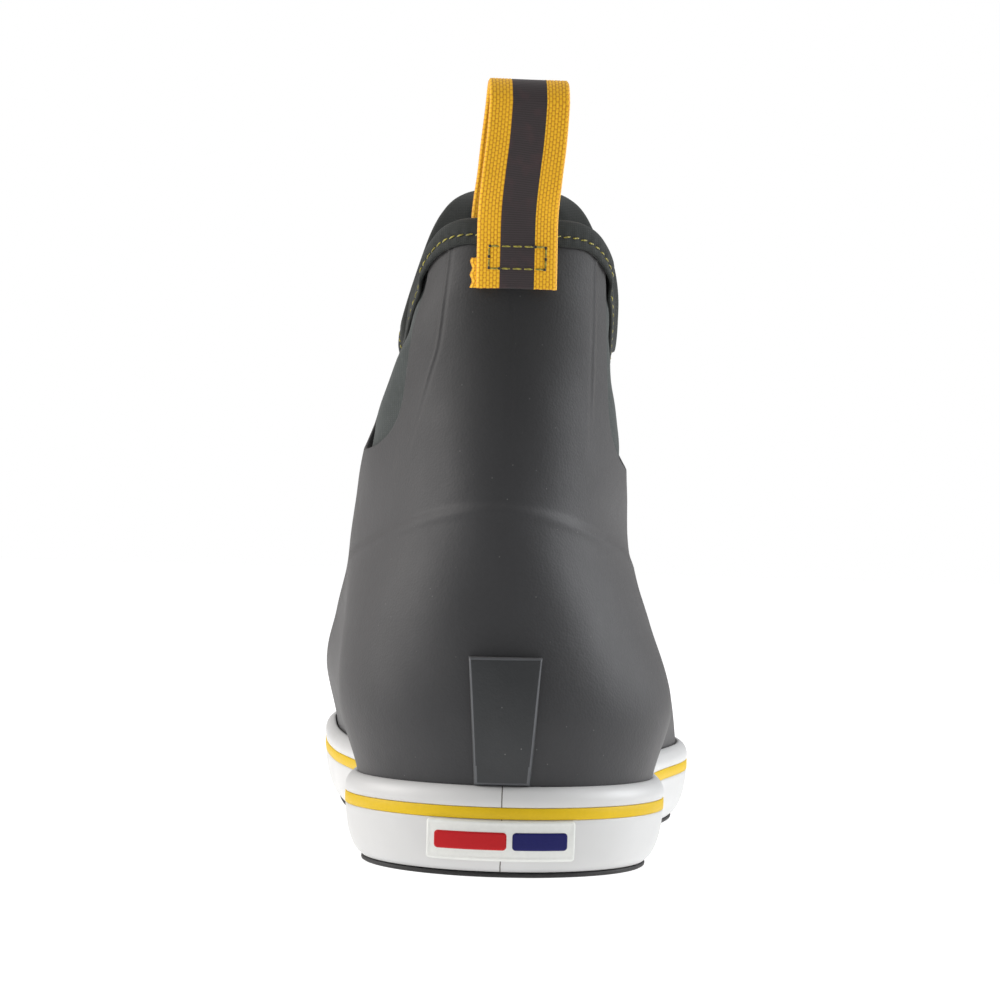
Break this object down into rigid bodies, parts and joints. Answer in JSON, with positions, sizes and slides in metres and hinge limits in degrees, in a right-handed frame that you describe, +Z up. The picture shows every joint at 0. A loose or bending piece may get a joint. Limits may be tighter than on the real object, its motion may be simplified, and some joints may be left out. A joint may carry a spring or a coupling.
{
  "type": "deck boot",
  "caption": "Right ankle deck boot: rubber shell, stretch side gussets, bound scooped collar, striped foxing and a webbing pull loop.",
  "frame": {"origin": "centre of the whole boot's box in X and Y, on the ground plane under the sole", "axes": "+Y heel to toe, +Z up the shaft, +X towards the outer side of this right boot"},
  "size_m": [0.1094, 0.3074, 0.197],
  "materials": {
    "outsole_rubber": "matte black-grey outsole rubber with siping",
    "midsole_rubber": "light cellular rubber filler",
    "board_fibre": "pressed fibre insole board",
    "upper_rubber": "smooth satin charcoal rubber",
    "backing_cloth": "woven backing cloth",
    "stiffener": "resin-stiffened felt",
    "neoprene": "closed-cell neoprene foam",
    "lining_knit": "knitted lining",
    "gusset_knit": "grey-green stretch knit over foam",
    "binding_tape": "dark knit binding tape, stitched in olive yellow",
    "kick_tab_rubber": "charcoal rubber with lighter worn edges",
    "foxing_rubber": "smooth off-white rubber",
    "stripe_rubber": "yellow rubber stripe",
    "label_rubber": "white moulded rubber label",
    "label_navy": "navy rubber inlay",
    "label_red": "red rubber inlay",
    "webbing": "yellow-orange coarse woven webbing with a dark centre stripe",
    "insole_foam": "open-cell insole foam",
    "insole_cloth": "brushed insole top cloth"
  },
  "bodies": {
    "boot": {"outsole": "outsole_rubber", "midsole": "midsole_rubber", "insole_board": "board_fibre", "rubber_shell": "upper_rubber", "fabric_backing": "backing_cloth", "heel_counter": "stiffener", "toe_puff": "stiffener", "neoprene_bootie": "neoprene", "lining": "lining_knit", "gusset_lateral": "gusset_knit", "gusset_medial": "gusset_knit", "collar_binding": "binding_tape", "back_stay": "upper_rubber", "heel_kick_tab": "kick_tab_rubber", "foxing_band": "foxing_rubber", "foxing_stripe": "stripe_rubber", "heel_label": "label_rubber", "label_bar_navy": "label_navy", "label_bar_red": "label_red", "pull_loop_outer_end": "webbing", "pull_loop_inner_end": "webbing"},
    "insole": {"insole_foam": "insole_foam", "insole_cover": "insole_cloth"},
    "pull_loop": {"pull_loop_bow": "webbing"}
  },
  "joints": [
    {"name": "pull_loop_fold", "type": "hinge", "parent": "boot", "child": "pull_loop", "pos_m": [-0.0038, -0.1409, 0.1642], "axis": [1, 0, 0], "range_deg": [-12, 60], "stiffness_Nm_per_rad": 0.02},
    {"name": "insole_lift", "type": "hinge", "parent": "boot", "child": "insole", "pos_m": [-0.0038, 0.1416, 0.0235], "axis": [-1, 0, 0], "range_deg": [0, 2.5]}
  ]
}
